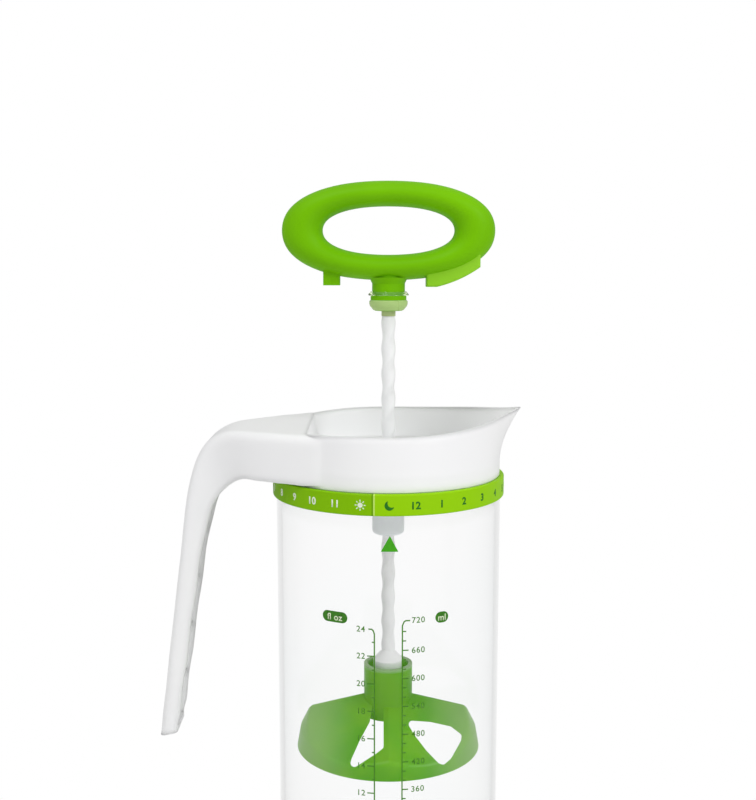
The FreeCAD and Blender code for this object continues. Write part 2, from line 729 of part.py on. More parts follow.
def make_plug_seal():
    """Silicone ring under the flange that plugs the hub when the plunger is down."""
    inner = spigot_radius + fit_gap
    top = flange_z - fit_gap
    crown = plug_seal_height / 8
    return revolved([(inner, plug_seal_bottom_z), (plug_seal_radius - plug_seal_lead_in, plug_seal_bottom_z),
                     (plug_seal_radius - crown / 2, plug_seal_bottom_z + plug_seal_lead_in),
                     (plug_seal_radius, top - 3 * crown), (plug_seal_radius, top - crown),
                     (plug_seal_radius - crown, top), (inner, top)])


def make_pin():
    """Swivel pin: a head held in the neck, and a knob that the shaft snaps on."""
    head = cylinder(pin_head_radius, pin_head_z, pin_head_z + pin_head_height)
    stem = cylinder(pin_radius, pin_bottom_z, pin_head_z)
    spigot = cylinder(pin_spigot_radius, pin_spigot_end_z, pin_bottom_z)
    knob = cylinder(pin_knob_radius, pin_spigot_end_z - pin_knob_height, pin_spigot_end_z)
    return head.fuse([stem, spigot, knob]).removeSplitter()


def make_retainer():
    """Sleeve pressed in the neck under the pin's head."""
    top = retainer_bottom_z + retainer_height
    return tube(retainer_radius, pin_radius + seat_gap, retainer_bottom_z, top)


def make_shaft():
    """Twisted rod with a snap socket at its top and a plug at its bottom."""
    blend = shaft_minor / 2
    foot = revolved([
        (0, shaft_plug_bottom_z),
        (shaft_plug_radius - shaft_plug_edge, shaft_plug_bottom_z),
        (shaft_plug_radius, shaft_plug_bottom_z + shaft_plug_edge),
        (shaft_plug_radius, shaft_plug_top_z),
        (shaft_major + blend, shaft_helix_bottom_z - blend),
        (shaft_minor, shaft_helix_bottom_z + blend / 2),
        (0, shaft_helix_bottom_z + blend / 2),
    ])
    shaft = twisted_rod(0.0, shaft_helix_bottom_z, shaft_top_z).fuse(foot)
    knob_bottom = pin_spigot_end_z - pin_knob_height - socket_gap
    shaft = shaft.cut(cylinder(pin_spigot_radius + socket_gap, pin_spigot_end_z, shaft_top_z + cut_over))
    return shaft.cut(cylinder(pin_knob_radius + socket_gap, knob_bottom, pin_spigot_end_z + socket_gap))


# ---------------------------------------------------------------- mixer
def mixer_roof(thinner):
    """Solid under four flat panels that fall from the hub, lower by a skin of that thickness."""
    steepness = math.hypot(1, mixer_ridge_fall, mixer_panel_fall)
    apex_z = mixer_apex_z - thinner * steepness
    base_z = mixer_rim_z - 2 * cut_over
    side, front = (apex_z - base_z) / mixer_ridge_fall, (apex_z - base_z) / mixer_panel_fall
    corners = [Vec(side, 0, base_z), Vec(0, front, base_z), Vec(-side, 0, base_z), Vec(0, -front, base_z)]
    panels = [polygon_face([a, b, Vec(0, 0, apex_z)]) for a, b in zip(corners, corners[1:] + corners[:1])]
    roof = Part.makeSolid(Part.makeShell(panels + [polygon_face(corners)]))
    roof = roof.cut(cylinder(side, mixer_ridge_z - thinner * steepness + cut_over, apex_z + cut_over))
    return rounded(roof, mixer_fold_round, lambda edge: edge.BoundBox.ZLength > mixer_hub_radius)


def mixer_cheeks(thinner):
    """Solid inside the cheeks, narrower by a skin of that thickness."""
    shoulder, cheek = [
        (mixer_rim_radius - narrowing - thinner, mixer_top_z - drop)
        for drop, narrowing in (mixer_shoulder, mixer_cheek)
    ]
    rise = (shoulder[1] - cheek[1]) / (cheek[0] - shoulder[0])
    above = (shoulder[0] - (mixer_apex_z - shoulder[1]) / rise, mixer_apex_z)
    foot = mixer_rim_radius - thinner
    floor_z = mixer_rim_z - (cut_over if thinner else 0)
    return revolved([(0, floor_z), (foot, floor_z), cheek, shoulder, above, (0, mixer_apex_z)])


def is_brow(edge):
    """Whether an edge of the bell is a long one where a panel meets the cheeks."""
    middle = edge.valueAt((edge.FirstParameter + edge.LastParameter) / 2)
    clear_of_rim = edge.BoundBox.ZMin > mixer_rim_z + cut_over
    return clear_of_rim and math.hypot(middle.x, middle.y) > mixer_rim_radius * 0.8


def mixer_bell(thinner):
    """The bell's outside, or its inside for a skin of that thickness."""
    bell = mixer_roof(thinner).common(mixer_cheeks(thinner))
    brow = [edge for edge in bell.Edges if is_brow(edge)]
    return bell.makeFillet(mixer_brow_round - thinner, brow)


def window_cutter(corners, turn):
    """Slanted prism through a window, turned about the axis."""
    reach = 2 * mixer_rim_radius
    outline = [
        Vec(across * mixer_rim_radius, -reach, mixer_top_z - down * mixer_height) for across, down in corners
    ]
    prism = rounded(polygon_face(outline).extrude(Vec(0, reach, 0)), window_round, as_long_as(reach))
    prism.rotate(Vec(0, 0, mixer_top_z), Vec(1, 0, 0), -window_tilt)
    prism.rotate(ORIGIN, UP, turn)
    return prism


def make_mixer():
    """Mixing blade: a hub socket, four panels that end in cheeks, and two opposite pairs of windows."""
    bell = mixer_bell(0).cut(mixer_bell(mixer_skin))
    for turn in (0, 180):
        bell = bell.cut(window_cutter(small_window, turn)).cut(window_cutter(large_window, turn))
    bell = bell.fuse(cylinder(mixer_hub_radius, mixer_hub_bottom_z, mixer_top_z))
    bell = bell.cut(cylinder(mixer_mouth_radius, mixer_top_z - mixer_mouth_depth, mixer_top_z + cut_over))
    bell = bell.cut(cylinder(shaft_plug_radius + fit_gap, shaft_plug_bottom_z - fit_gap, mixer_top_z))
    return bell.removeSplitter()


def save(node, shape):
    """Writes one node and prints what it is."""
    solids = shape.Solids
    shape = solids[0] if len(solids) == 1 else Part.makeCompound(solids)
    print(node, "solids", len(solids), "valid", shape.isValid(), "volume", round(shape.Volume, 1))
    shape.exportStep("parts/" + node + ".step")


os.makedirs("parts", exist_ok=True)
grip_shape = make_grip()
save("jug_body", make_jug())
save("dial_ring", make_dial_ring())
save("lid_gasket", make_gasket())
save("spout_collar", make_collar())
save("helix_bush", make_bush())
save("plunger_handle", grip_shape)
save("spout_stopper", make_stopper(grip_shape))
save("neck_seal", make_lip_seal())
save("plug_seal", make_plug_seal())
save("pin_retainer", make_retainer())
save("swivel_pin", make_pin())
save("mixing_shaft", make_shaft())
save("mixer", make_mixer())
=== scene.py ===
# %% [markdown]
# # A pitcher that mixes formula
#
# The real object is a clear jug with a white pouring lid, a green dial that remembers when the
# formula was made, and a plunger that spins a green blade as it slides. The engineering model holds
# every solid at its real size and place. This lesson loads that model, lays ink on it, gives each
# plastic its own finish, and lights the whole like a small product on a studio table.

# %% Load the frame
import math

import bpy
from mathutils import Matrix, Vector


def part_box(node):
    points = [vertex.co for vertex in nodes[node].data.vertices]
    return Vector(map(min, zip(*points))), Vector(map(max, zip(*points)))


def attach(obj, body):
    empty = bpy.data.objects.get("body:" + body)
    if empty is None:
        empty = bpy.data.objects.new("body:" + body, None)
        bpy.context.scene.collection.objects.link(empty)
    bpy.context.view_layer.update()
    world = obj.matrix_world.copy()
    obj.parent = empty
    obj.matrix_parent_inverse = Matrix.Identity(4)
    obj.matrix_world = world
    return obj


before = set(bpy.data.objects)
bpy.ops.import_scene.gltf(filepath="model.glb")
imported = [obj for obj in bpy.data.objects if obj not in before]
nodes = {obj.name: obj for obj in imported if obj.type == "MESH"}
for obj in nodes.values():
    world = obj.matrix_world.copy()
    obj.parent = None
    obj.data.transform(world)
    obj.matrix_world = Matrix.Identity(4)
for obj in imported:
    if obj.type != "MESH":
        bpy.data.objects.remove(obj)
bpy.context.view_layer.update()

# %% [markdown]
# ## Units and small habits
#
# The frame is in metres, and the object is as big as a hand, so sizes are written in millimetres and
# multiplied once. Blender's operators act on whatever is selected, so every piece starts from an
# empty selection. Colours are named the way a moulder would read them off a swatch, as 0 to 255.

# %% Units and habits
mm = 0.001


def swatch(red, green, blue):
    """A swatch colour, 0 to 255, as the linear colour a shader wants."""
    def linear(value):
        value /= 255
        return value / 12.92 if value <= 0.04045 else ((value + 0.055) / 1.055) ** 2.4
    return (linear(red), linear(green), linear(blue), 1.0)


def select_only(*objects):
    """Leaves just these objects selected, the first one active."""
    bpy.ops.object.select_all(action="DESELECT")
    for piece in objects:
        piece.select_set(True)
    if objects:
        bpy.context.view_layer.objects.active = objects[0]


def settle(piece):
    """Moves a piece's place into its mesh, so that its object sits at the origin."""
    select_only(piece)
    bpy.ops.object.transform_apply(location=True, rotation=True, scale=True)
    return piece


print("habits ready")

# %% [markdown]
# ## The camera
#
# The camera stands almost half a metre in front of the jug, a little left of its axis and level
# with the grip, and looks down by seven degrees. From there the bowl shows as a slim ellipse and
# the dial curves gently, which tells the eye how tall the object is. The view is long enough that
# the upright walls stay upright.

# %% Place the camera
eye = Vector((-4.1, -467.8, 268.0)) * mm
look_down = math.radians(7.1)
bpy.ops.object.camera_add(location=eye, rotation=(math.pi / 2 - look_down, 0, 0))
camera = bpy.context.object
camera.name = "studio_camera"
camera.data.sensor_width = 36
camera.data.sensor_fit = "AUTO"
camera.data.lens = 53.75
camera.data.clip_start = 0.01
bpy.context.scene.camera = camera
print("camera at", tuple(round(v, 4) for v in eye))

# %% [markdown]
# ## Floor and sweep
#
# A studio table and its backdrop are one white sweep. The jug needs a floor that takes a soft shadow
# near its foot and turns to plain white further out. A diffuse disc could do that only with very
# strong lamps, so the floor mixes a pale paint with a plain white glow: all glow far away, and mostly
# paint under the jug. Only the camera sees the glow, also where it looks through clear plastic. To
# every other ray the floor is paint, so the light that falls on the object comes from the lamps and
# the world alone.

# %% Build the floor
floor_size = 6.0
bpy.ops.mesh.primitive_plane_add(size=floor_size, location=(0, 0, 0))
floor = bpy.context.object
floor.name = "studio_floor"


def new_material(name):
    """An empty node material: its nodes, its links and its output."""
    material = bpy.data.materials.new(name)
    material.use_nodes = True
    tree = material.node_tree
    tree.nodes.clear()
    return material, tree.nodes, tree.links, tree.nodes.new("ShaderNodeOutputMaterial")


def math_node(tree_nodes, links, operation, *inputs):
    """A Math node, its inputs set or linked. Returns its value."""
    node = tree_nodes.new("ShaderNodeMath")
    node.operation = operation
    for slot, value in enumerate(inputs):
        if isinstance(value, (int, float)):
            node.inputs[slot].default_value = value
        else:
            links.new(value, node.inputs[slot])
    return node.outputs[0]


def map_range(tree_nodes, links, value, low, high, to_low=0.0, to_high=1.0):
    """A value carried from one range to another, eased at both ends."""
    node = tree_nodes.new("ShaderNodeMapRange")
    node.interpolation_type = "SMOOTHSTEP"
    links.new(value, node.inputs["Value"])
    ends = {"From Min": low, "From Max": high, "To Min": to_low, "To Max": to_high}
    for name, number in ends.items():
        node.inputs[name].default_value = number
    return node.outputs[0]


def mixed(tree_nodes, links, factor, first, second, colour=True):
    """Two colours or two values mixed by a factor; each may be a link or a plain value."""
    node = tree_nodes.new("ShaderNodeMix")
    node.data_type = "RGBA" if colour else "FLOAT"
    sockets = (node.inputs[0], *(node.inputs[6:8] if colour else node.inputs[2:4]))
    for socket, value in zip(sockets, (factor, first, second)):
        if isinstance(value, (int, float, tuple)):
            socket.default_value = value
        else:
            links.new(value, socket)
    return node.outputs[2 if colour else 0]


def seen_by_eye(tree_nodes, links):
    """1 for camera rays and for rays that only clear plastic has bent on the way, else 0."""
    path = tree_nodes.new("ShaderNodeLightPath")
    seen = math_node(tree_nodes, links, "MAXIMUM", path.outputs["Is Camera Ray"],
                     path.outputs["Is Transmission Ray"])
    straight = math_node(tree_nodes, links, "LESS_THAN", path.outputs["Diffuse Depth"], 0.5)
    return math_node(tree_nodes, links, "MULTIPLY", seen, straight)


sweep, n, l, out = new_material("studio_sweep")
place = n.new("ShaderNodeTexCoord")
reach = n.new("ShaderNodeVectorMath")
reach.operation = "LENGTH"
l.new(place.outputs["Object"], reach.inputs[0])
least_glow, glow_starts, glow_full = 0.3, 35 * mm, 95 * mm
glow_share = map_range(n, l, reach.outputs["Value"], glow_starts, glow_full, least_glow, 1.0)
paint = n.new("ShaderNodeBsdfPrincipled")
paint.inputs["Base Color"].default_value = (0.92, 0.92, 0.92, 1)
paint.inputs["Roughness"].default_value = 0.9
glow = n.new("ShaderNodeEmission")
glow.inputs["Strength"].default_value = 1.0
mix = n.new("ShaderNodeMixShader")
l.new(math_node(n, l, "MULTIPLY", glow_share, seen_by_eye(n, l)), mix.inputs["Fac"])
l.new(paint.outputs[0], mix.inputs[1])
l.new(glow.outputs[0], mix.inputs[2])
l.new(mix.outputs[0], out.inputs["Surface"])
floor.data.materials.append(sweep)
print("floor is", floor_size, "m across")

# %% [markdown]
# ## The light
#
# White plastic on white paper is seen only by its shading, so the light comes mostly from the right
# and above. The key stands there, and a high lamp looks into the bowl. A low lamp on the right
# reaches under the dial, and a weak one on the left keeps the handle readable. The world fills the
# rest at about half strength. Together they make a surface about as bright as its own colour, so
# each plastic renders as it is written.

# %% Set the lamps and the world
def soft_box(name, place, aim, size, watts):
    """A square area lamp that faces a point."""
    bpy.ops.object.light_add(type="AREA", location=place)
    lamp = bpy.context.object
    lamp.name = name
    lamp.data.shape = "SQUARE"
    lamp.data.size = size
    lamp.data.energy = watts
    lamp.rotation_euler = (Vector(aim) - Vector(place)).to_track_quat("-Z", "Y").to_euler()


middle = (0, 0, 0.17)
world_share = 0.48
soft_box("key_right", (0.8, -0.6, 0.85), middle, 0.45, 4.2)
soft_box("low_right", (0.7, -1.0, 0.12), middle, 0.4, 0.8)
soft_box("fill_left", (-0.9, -0.6, 0.35), middle, 0.7, 0.6)
soft_box("top_front", (-0.25, -0.4, 1.1), (0, 0, 0.2), 0.45, 3.3)

world = bpy.data.worlds.new("studio_world")
bpy.context.scene.world = world
world.use_nodes = True
n, l = world.node_tree.nodes, world.node_tree.links
n.clear()
out = n.new("ShaderNodeOutputWorld")
seen_white = n.new("ShaderNodeBackground")
seen_white.inputs["Color"].default_value = (1, 1, 1, 1)
seen_white.inputs["Strength"].default_value = 1.0
fill_light = n.new("ShaderNodeBackground")
fill_light.inputs["Color"].default_value = (1, 1, 1, 1)
fill_light.inputs["Strength"].default_value = world_share
mix = n.new("ShaderNodeMixShader")
l.new(seen_by_eye(n, l), mix.inputs["Fac"])
l.new(fill_light.outputs[0], mix.inputs[1])
l.new(seen_white.outputs[0], mix.inputs[2])
l.new(mix.outputs[0], out.inputs["Surface"])
bpy.context.scene.view_settings.view_transform = "Standard"

# %% [markdown]
# ## The skin of moulded plastic
#
# Moulded plastic is never perfectly even. The melt flows, so the colour drifts a little over a
# few centimetres. The mould was spark-eroded, so the skin has a grain finer than a hair. And hands
# leave some patches glossier than others. One node group makes all three from noise, and every
# plastic here uses it with its own colours and depth.

# %% Make the moulded skin group
def moulded_skin_group():
    """Colour, roughness and height of a moulded skin."""
    group = bpy.data.node_groups.new("moulded_skin", "ShaderNodeTree")
    wanted = (("Colour", "NodeSocketColor"), ("Drift Colour", "NodeSocketColor"),
              ("Flow Scale", "NodeSocketFloat"), ("Grain Scale", "NodeSocketFloat"),
              ("Roughness Low", "NodeSocketFloat"), ("Roughness High", "NodeSocketFloat"))
    for name, kind in wanted:
        group.interface.new_socket(name, in_out="INPUT", socket_type=kind)
    for name, kind in (("Colour", "NodeSocketColor"), ("Roughness", "NodeSocketFloat"),
                       ("Height", "NodeSocketFloat")):
        group.interface.new_socket(name, in_out="OUTPUT", socket_type=kind)
    n, l = group.nodes, group.links
    given, made = n.new("NodeGroupInput"), n.new("NodeGroupOutput")
    place = n.new("ShaderNodeTexCoord")
    flow = n.new("ShaderNodeTexNoise")
    flow.inputs["Detail"].default_value = 2
    l.new(place.outputs["Object"], flow.inputs["Vector"])
    l.new(given.outputs["Flow Scale"], flow.inputs["Scale"])
    grain = n.new("ShaderNodeTexNoise")
    grain.inputs["Detail"].default_value = 3
    l.new(place.outputs["Object"], grain.inputs["Vector"])
    l.new(given.outputs["Grain Scale"], grain.inputs["Scale"])
    drift = map_range(n, l, flow.outputs["Fac"], 0.35, 0.65)
    tone = mixed(n, l, drift, given.outputs["Colour"], given.outputs["Drift Colour"])
    l.new(tone, made.inputs["Colour"])
    rough = mixed(n, l, flow.outputs["Fac"], given.outputs["Roughness Low"],
                  given.outputs["Roughness High"], colour=False)
    l.new(rough, made.inputs["Roughness"])
    l.new(grain.outputs["Fac"], made.inputs["Height"])
    return group


moulded_skin = moulded_skin_group()
print("group", moulded_skin.name, "has", len(moulded_skin.nodes), "nodes")

# %% [markdown]
# ## The plastics
#
# Every finish below is a Principled surface over that skin. What differs is small but it is what the
# eye reads: the grip is a rubbery green with a broad soft shine, the lid a harder white, the shaft a
# plain white rod. A moulded lid has no sharp corner anywhere, so its shading is rounded where two
# faces meet. Rounding the mesh itself would need many thousands of faces for what is only a glint.

# %% Mix the solid plastics
def plastic(name, colour, drift, rough=(0.35, 0.45), flow=18.0, grain=2600.0, bump=0.02,
            shine=0.25, **fixed):
    """A moulded plastic. Returns its material, nodes, links, shader and skin, for later changes."""
    material, n, l, out = new_material(name)
    skin = n.new("ShaderNodeGroup")
    skin.node_tree = moulded_skin
    skin.inputs["Colour"].default_value = swatch(*colour)
    skin.inputs["Drift Colour"].default_value = swatch(*drift)
    skin.inputs["Flow Scale"].default_value = flow
    skin.inputs["Grain Scale"].default_value = grain
    skin.inputs["Roughness Low"].default_value = rough[0]
    skin.inputs["Roughness High"].default_value = rough[1]
    shader = n.new("ShaderNodeBsdfPrincipled")
    shader.inputs["Specular IOR Level"].default_value = shine
    l.new(skin.outputs["Colour"], shader.inputs["Base Color"])
    l.new(skin.outputs["Roughness"], shader.inputs["Roughness"])
    relief = n.new("ShaderNodeBump")
    relief.inputs["Strength"].default_value = bump
    relief.inputs["Distance"].default_value = 0.0002
    l.new(skin.outputs["Height"], relief.inputs["Height"])
    l.new(relief.outputs["Normal"], shader.inputs["Normal"])
    for socket, value in fixed.items():
        shader.inputs[socket.replace("_", " ")].default_value = value
    l.new(shader.outputs[0], out.inputs["Surface"])
    return material, n, l, shader, skin


def soften_edges(n, l, radius):
    """Rounds the shading where two faces meet, by a radius in millimetres."""
    round_edge = n.new("ShaderNodeBevel")
    round_edge.samples = 8
    round_edge.inputs["Radius"].default_value = radius * mm
    relief = next(node for node in n if node.type == "BUMP")
    l.new(round_edge.outputs["Normal"], relief.inputs["Normal"])


def output_of(n):
    """The material's output node."""
    return next(node for node in n if node.type == "OUTPUT_MATERIAL")


def glow_through(n, l, shader, colour, share):
    """Light that falls on the far side of a thin wall glows through it. Returns the mix."""
    glow = n.new("ShaderNodeBsdfTranslucent")
    glow.inputs["Color"].default_value = colour
    mix = n.new("ShaderNodeMixShader")
    mix.inputs["Fac"].default_value = share
    l.new(shader.outputs[0], mix.inputs[1])
    l.new(glow.outputs[0], mix.inputs[2])
    l.new(mix.outputs[0], output_of(n).inputs["Surface"])
    return mix


grip_green = plastic("grip_green", (120, 194, 0), (112, 184, 0), rough=(0.42, 0.52), bump=0.05,
                     shine=0.08)[0]
stopper_green = plastic("stopper_green", (150, 214, 48), (140, 206, 38), rough=(0.4, 0.5),
                        bump=0.05, shine=0.1)[0]
hard_skin = {"rough": (0.3, 0.4), "bump": 0.03}
white_lid, n, l = plastic("white_lid", (252, 252, 252), (250, 250, 251), **hard_skin)[:3]
soften_edges(n, l, 4.0)
shaft_white = plastic("shaft_white", (252, 252, 252), (247, 248, 248), **hard_skin)[0]
bush_white = plastic("bush_white", (250, 253, 255), (246, 250, 253), **hard_skin)[0]
pin_pale = plastic("pin_pale_green", (196, 212, 150), (186, 204, 138), **hard_skin)[0]
print("six solid plastics")

# %% [markdown]
# ## The dial's two halves
#
# The dial is one ring in two tones: a deeper green for the hours of day and a brighter one for
# the hours of night, with a slim pale groove where they meet. Two separate mouldings would need a
# seam, and vertex paint would need many faces, so the tone is worked out from the place: everything on
# one side of an upright plane through the axis is day.

# %% Mix the dial's green
dial_green, n, l, shader, skin = plastic("dial_green", (134, 194, 0), (128, 188, 0),
                                        rough=(0.4, 0.5), shine=0.08)
groove_turn = math.radians(-7.0)
groove_reach, shade_middle, shade_reach = 0.28 * mm, 0.6 * mm, 0.3 * mm
groove_blur, tone_blur = 0.06 * mm, 0.1 * mm
place = n.new("ShaderNodeTexCoord")
split = n.new("ShaderNodeSeparateXYZ")
l.new(place.outputs["Object"], split.inputs[0])
beside = math_node(n, l, "ADD",
                   math_node(n, l, "MULTIPLY", split.outputs["X"], math.cos(groove_turn)),
                   math_node(n, l, "MULTIPLY", split.outputs["Y"], math.sin(groove_turn)))
night = map_range(n, l, beside, -tone_blur, tone_blur)
tone = mixed(n, l, night, skin.outputs["Colour"], swatch(150, 210, 6))
off_groove = math_node(n, l, "ABSOLUTE", beside)
groove = map_range(n, l, off_groove, groove_reach - groove_blur, groove_reach + groove_blur, 1.0, 0.0)
# Painted shadow: a darker green band beside the groove, on the day side, stands in for the shade that
# the groove throws.
off_shade = math_node(n, l, "ABSOLUTE", math_node(n, l, "ADD", beside, shade_middle))
painted_groove_shadow = map_range(n, l, off_shade, shade_reach - tone_blur, shade_reach + tone_blur, 1.0, 0.0)
tone = mixed(n, l, painted_groove_shadow, tone, swatch(104, 160, 0))
tone = mixed(n, l, groove, tone, swatch(196, 232, 110))
l.new(tone, shader.inputs["Base Color"])
print("the groove stands at", round(math.degrees(groove_turn), 1), "degrees")

# %% [markdown]
# ## The plastics that pass light
#
# The jug is a clear copolyester, the seals silicone, and the blade a tinted polypropylene that glows
# where light falls on its far side. A thin clear wall hardly bends a ray, so the jug has no
# refraction: its gloss comes from a coat, and its soft grey edge from a little smoke in the wall,
# which a ray crosses the long way there. Clear walls also keep lamps from lighting what is inside,
# so each clear material lets shadow rays and diffuse rays straight through. That is a Light Path
# switch between the Principled shader and a Transparent one.

# %% Mix the clear plastics
def let_light_in(n, l, shader, out, tint=(1, 1, 1, 1)):
    """Rays that carry light to what is inside pass in a straight line, so it is counted once."""
    path = n.new("ShaderNodeLightPath")
    through = n.new("ShaderNodeBsdfTransparent")
    through.inputs["Color"].default_value = tint
    mix = n.new("ShaderNodeMixShader")
    l.new(math_node(n, l, "MAXIMUM", path.outputs["Is Shadow Ray"], path.outputs["Is Diffuse Ray"]),
          mix.inputs["Fac"])
    l.new(shader.outputs[0], mix.inputs[1])
    l.new(through.outputs[0], mix.inputs[2])
    l.new(mix.outputs[0], out.inputs["Surface"])


smoke_density = 9.0         # per metre of wall
clear_jug, n, l, shader = plastic(
    "clear_jug", (255, 255, 255), (254, 255, 255), rough=(0.0, 0.02), flow=9.0, bump=0.0,
    IOR=1.0, Transmission_Weight=1.0, Coat_Weight=0.25, Coat_Roughness=0.05)[:4]
let_light_in(n, l, shader, output_of(n), (0.98, 0.98, 0.98, 1))
smoke = n.new("ShaderNodeVolumeAbsorption")
smoke.inputs["Color"].default_value = (0.0, 0.0, 0.0, 1)
smoke.inputs["Density"].default_value = smoke_density
l.new(smoke.outputs[0], output_of(n).inputs["Volume"])

clear_silicone, n, l, shader = plastic(
    "clear_silicone", (232, 246, 206), (224, 242, 196), rough=(0.12, 0.2),
    IOR=1.12, Transmission_Weight=0.95, Coat_Weight=0.2)[:4]
let_light_in(n, l, shader, output_of(n), (0.85, 0.9, 0.78, 1))

milky_silicone, n, l, shader = plastic(
    "milky_silicone", (206, 232, 158), (196, 226, 146), rough=(0.22, 0.32), bump=0.03,
    IOR=1.2, Transmission_Weight=0.3)[:4]
let_light_in(n, l, shader, output_of(n), (0.5, 0.62, 0.4, 1))

mixer_green, n, l, shader, skin = plastic(
    "mixer_green", (98, 186, 14), (132, 204, 30), rough=(0.26, 0.36), flow=55.0, bump=0.03,
    IOR=1.45, Transmission_Weight=0.1)
place = n.new("ShaderNodeTexCoord")
split = n.new("ShaderNodeSeparateXYZ")
l.new(place.outputs["Object"], split.inputs[0])
# Painted light: the blade is painted paler towards its wings and above the mouth height, a painted
# glow where light would shine through the thin plastic.
hub_reach, wing_reach, painted_glow_share = 10 * mm, 33 * mm, 0.8
mouth_low, mouth_high = 100.8 * mm, 102.2 * mm
off_axis = math_node(n, l, "ABSOLUTE", split.outputs["X"])
painted_wing_glow = map_range(n, l, off_axis, hub_reach, wing_reach, 0.0, painted_glow_share)
tone = mixed(n, l, painted_wing_glow, skin.outputs["Colour"], swatch(176, 214, 140))
painted_mouth_glow = map_range(n, l, split.outputs["Z"], mouth_low, mouth_high, 0.0, painted_glow_share)
tone = mixed(n, l, painted_mouth_glow, tone, swatch(188, 214, 170))
l.new(tone, shader.inputs["Base Color"])
milky = glow_through(n, l, shader, swatch(150, 220, 40), 0.3)
let_light_in(n, l, milky, output_of(n), (0.3, 0.55, 0.15, 1))
print("four plastics that pass light")

# %% [markdown]
# ## Ink on curved plastic
#
# Both prints were laid on by a pad that rolls round the wall. They could be images, but an image
# blurs up close and needs a UV map, so the ink is real: a film a few hundredths of a millimetre
# thick. Every mark is drawn flat first, where x runs along the wall and y is height. Then the sheet
# of marks is cut into narrow strips, so that it can bend, wrapped onto the wall, and thickened.

# %% Draw flat marks
capital_share = 0.73        # of the font's size


def flat_stroke(start, end, width):
    """A thin flat bar from one point to another, in millimetres."""
    run = Vector((end[0] - start[0], end[1] - start[1], 0))
    middle = Vector((start[0] + end[0], start[1] + end[1], 0)) / 2
    select_only()
    bpy.ops.mesh.primitive_plane_add(size=1, location=middle * mm,
                                     rotation=(0, 0, math.atan2(run.y, run.x)))
    bar = bpy.context.object
    bar.scale = (run.length * mm, width * mm, 1)
    return settle(bar)


def flat_disc(centre, radius, corners=32):
    """A filled flat circle."""
    select_only()
    bpy.ops.mesh.primitive_circle_add(vertices=corners, radius=radius * mm, fill_type="TRIFAN",
                                      location=(centre[0] * mm, centre[1] * mm, 0))
    return settle(bpy.context.object)


def flat_shape(name, corners):
    """A filled flat outline."""
    mesh = bpy.data.meshes.new(name)
    mesh.from_pydata([(x * mm, y * mm, 0) for x, y in corners], [], [range(len(corners))])
    shape = bpy.data.objects.new(name, mesh)
    bpy.context.collection.objects.link(shape)
    return shape


def flat_text(words, cap_height, x, y, side="CENTER", bold=0.0, spacing=1.0):
    """Words as a flat mesh. Their left end, middle or right end stands at x, their middle at y."""
    select_only()
    bpy.ops.object.text_add()
    text = bpy.context.object
    text.data.body = words
    text.data.resolution_u = 6
    text.data.size = cap_height * mm / capital_share
    text.data.offset = bold * mm
    text.data.space_character = spacing
    bpy.ops.object.convert(target="MESH")
    text = bpy.context.object
    across = [v.co.x for v in text.data.vertices]
    left, right = min(across), max(across)
    anchor = {"LEFT": left, "RIGHT": right, "CENTER": (left + right) / 2}[side]
    text.location = (x * mm - anchor, (y - cap_height / 2) * mm, 0)
    return settle(text)


print("flat marks ready")

# %% [markdown]
# ## Wrapping the ink
#
# A flat sheet bends onto a wall only where it has edges, so it is cut every eight tenths of a
# millimetre first. Each point then moves round the wall by its own distance along it. The film is
# sunk a little into the plastic, so that no gap shows at its edge.

# %% Wrap a sheet of marks
ink_film, ink_sink = 0.05, 0.02
strip_width, first_cut = 0.8, 0.37


def lay_ink(name, marks, radius_at, body, finish, film=ink_film, sink=ink_sink):
    """Joins flat marks, cuts them in strips, wraps them on a wall and thickens them."""
    select_only(*marks)
    bpy.ops.object.join()
    ink = bpy.context.object
    ink.name = ink.data.name = name
    bpy.ops.object.mode_set(mode="EDIT")
    bpy.ops.mesh.select_all(action="SELECT")
    bpy.ops.mesh.quads_convert_to_tris()
    reach = max(abs(v.co.x) for v in ink.data.vertices) / mm
    bpy.ops.object.mode_set(mode="OBJECT")
    strips = int(reach / strip_width)
    for step in range(-strips, strips + 1):
        bpy.ops.object.mode_set(mode="EDIT")
        bpy.ops.mesh.select_all(action="SELECT")
        bpy.ops.mesh.bisect(plane_co=((step + first_cut) * strip_width * mm, 0, 0), plane_no=(1, 0, 0))
        bpy.ops.object.mode_set(mode="OBJECT")
    for vertex in ink.data.vertices:
        along, up = vertex.co.x / mm, vertex.co.y / mm
        radius = radius_at(up) - sink
        turn = along / radius_at(up)
        vertex.co = Vector((radius * math.sin(turn), -radius * math.cos(turn), up)) * mm
    select_only(ink)
    thicken = ink.modifiers.new("film", "SOLIDIFY")
    thicken.thickness = (film + sink) * mm
    thicken.offset = 1
    bpy.ops.object.modifier_apply(modifier=thicken.name)
    ink.data.materials.clear()
    ink.data.materials.append(finish)
    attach(ink, body)
    print(name, "has", len(ink.data.polygons), "faces")


print("a film of ink is", ink_film, "mm thick")

# %% [markdown]
# ## The inks
#
# Printed ink is not a coat of paint. It is thin, so it shows a little mottle, and it lies matt on
# the glossy wall. There are three dark greens, for the scale, the badges and the night hours. White
# is for the day hours, a pale ink for the letters in the badges, and a bright green for the pointer.

# %% Mix the inks
matt = {"rough": (0.45, 0.6), "flow": 700.0, "grain": 6000.0, "bump": 0.05}
ink_dark = plastic("ink_dark_green", (70, 132, 28), (78, 140, 34), **matt)[0]
ink_badge = plastic("ink_badge_green", (54, 122, 20), (62, 130, 26), **matt)[0]
ink_night = plastic("ink_night_green", (28, 112, 18), (38, 122, 24), **matt)[0]
ink_white = plastic("ink_white", (238, 246, 228), (228, 240, 214), **matt)[0]
ink_pale = plastic("ink_pale", (232, 244, 212), (222, 238, 198), **matt)[0]
ink_pointer = plastic("ink_pointer_green", (70, 172, 20), (62, 162, 16), **matt)[0]
print("six inks")

